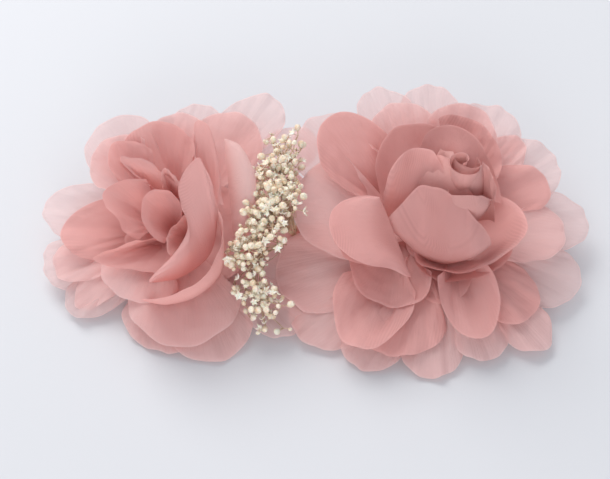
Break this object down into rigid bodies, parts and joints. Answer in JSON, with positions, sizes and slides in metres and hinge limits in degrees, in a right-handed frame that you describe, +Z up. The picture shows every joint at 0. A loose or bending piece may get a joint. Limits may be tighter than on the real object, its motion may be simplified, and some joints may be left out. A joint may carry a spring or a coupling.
{
  "type": "flower hair clip",
  "caption": "Two layered chiffon flowers with a spray of dried baby's breath between them, on a felt backing with a flat sprung metal hair clip.",
  "frame": {"origin": "centre of the bounding box, on the surface the clip lies on", "axes": "+X along the row from the smaller flower to the larger one, +Z up out of the flowers, -Y the side that is seen first"},
  "size_m": [0.1953, 0.1083, 0.0559],
  "materials": {
    "organza_sheer": "sheer dusty pink organza, soft satin sheen",
    "chiffon_petal": "dusty pink chiffon, matte with fine weave",
    "chiffon_heart": "dusty pink chiffon, deeper where it is rolled",
    "dried_flower": "dry cream buds, matte",
    "felt": "pale pink wool felt, fuzzy",
    "clip_metal": "plain nickel-coloured steel, lightly brushed"
  },
  "bodies": {
    "flowers_and_upper_arm": {"baby_breath_lower_spray": "dried_flower", "baby_breath_middle_spray": "dried_flower", "baby_breath_upper_spray": "dried_flower", "clip_hinge_pin": "clip_metal", "clip_leaf_spring": "clip_metal", "clip_upper_arm": "clip_metal", "felt_backing_strip": "felt", "left_flower_base_disc": "felt", "left_heart_petal_1": "chiffon_heart", "left_heart_petal_2": "chiffon_heart", "left_inner_petal_1": "chiffon_petal", "left_inner_petal_2": "chiffon_petal", "left_inner_petal_3": "chiffon_petal", "left_inner_petal_4": "chiffon_petal", "left_middle_petal_1": "chiffon_petal", "left_middle_petal_2": "chiffon_petal", "left_middle_petal_3": "chiffon_petal", "left_middle_petal_4": "chiffon_petal", "left_middle_petal_5": "chiffon_petal", "left_outer_petal_1": "organza_sheer", "left_outer_petal_2": "organza_sheer", "left_outer_petal_3": "organza_sheer", "left_outer_petal_4": "organza_sheer", "left_outer_petal_5": "organza_sheer", "left_outer_petal_6": "organza_sheer", "left_outer_petal_7": "organza_sheer", "left_second_petal_1": "organza_sheer", "left_second_petal_2": "organza_sheer", "left_second_petal_3": "organza_sheer", "left_second_petal_4": "organza_sheer", "left_second_petal_5": "organza_sheer", "right_bud_petal_1": "chiffon_heart", "right_bud_petal_2": "chiffon_heart", "right_bud_petal_3": "chiffon_heart", "right_cup_petal_1": "chiffon_petal", "right_cup_petal_2": "chiffon_petal", "right_cup_petal_3": "chiffon_petal", "right_cup_petal_4": "chiffon_petal", "right_flower_base_disc": "felt", "right_middle_petal_1": "chiffon_petal", "right_middle_petal_2": "chiffon_petal", "right_middle_petal_3": "chiffon_petal", "right_middle_petal_4": "chiffon_petal", "right_middle_petal_5": "chiffon_petal", "right_outer_petal_1": "organza_sheer", "right_outer_petal_2": "organza_sheer", "right_outer_petal_3": "organza_sheer", "right_outer_petal_4": "organza_sheer", "right_outer_petal_5": "organza_sheer", "right_outer_petal_6": "organza_sheer", "right_outer_petal_7": "organza_sheer", "right_second_petal_1": "organza_sheer", "right_second_petal_2": "organza_sheer", "right_second_petal_3": "organza_sheer", "right_second_petal_4": "organza_sheer", "right_second_petal_5": "organza_sheer", "right_second_petal_6": "organza_sheer"},
    "lower_arm": {"clip_lower_arm": "clip_metal"}
  },
  "joints": [
    {"name": "clip_hinge", "type": "hinge", "parent": "flowers_and_upper_arm", "child": "lower_arm", "pos_m": [0.022, 0, 0.0056], "axis": [0, -1, 0], "range_deg": [0, 20], "stiffness_Nm_per_rad": 0.2, "springref_deg": -28.65, "deforming": ["clip_leaf_spring"]}
  ]
}
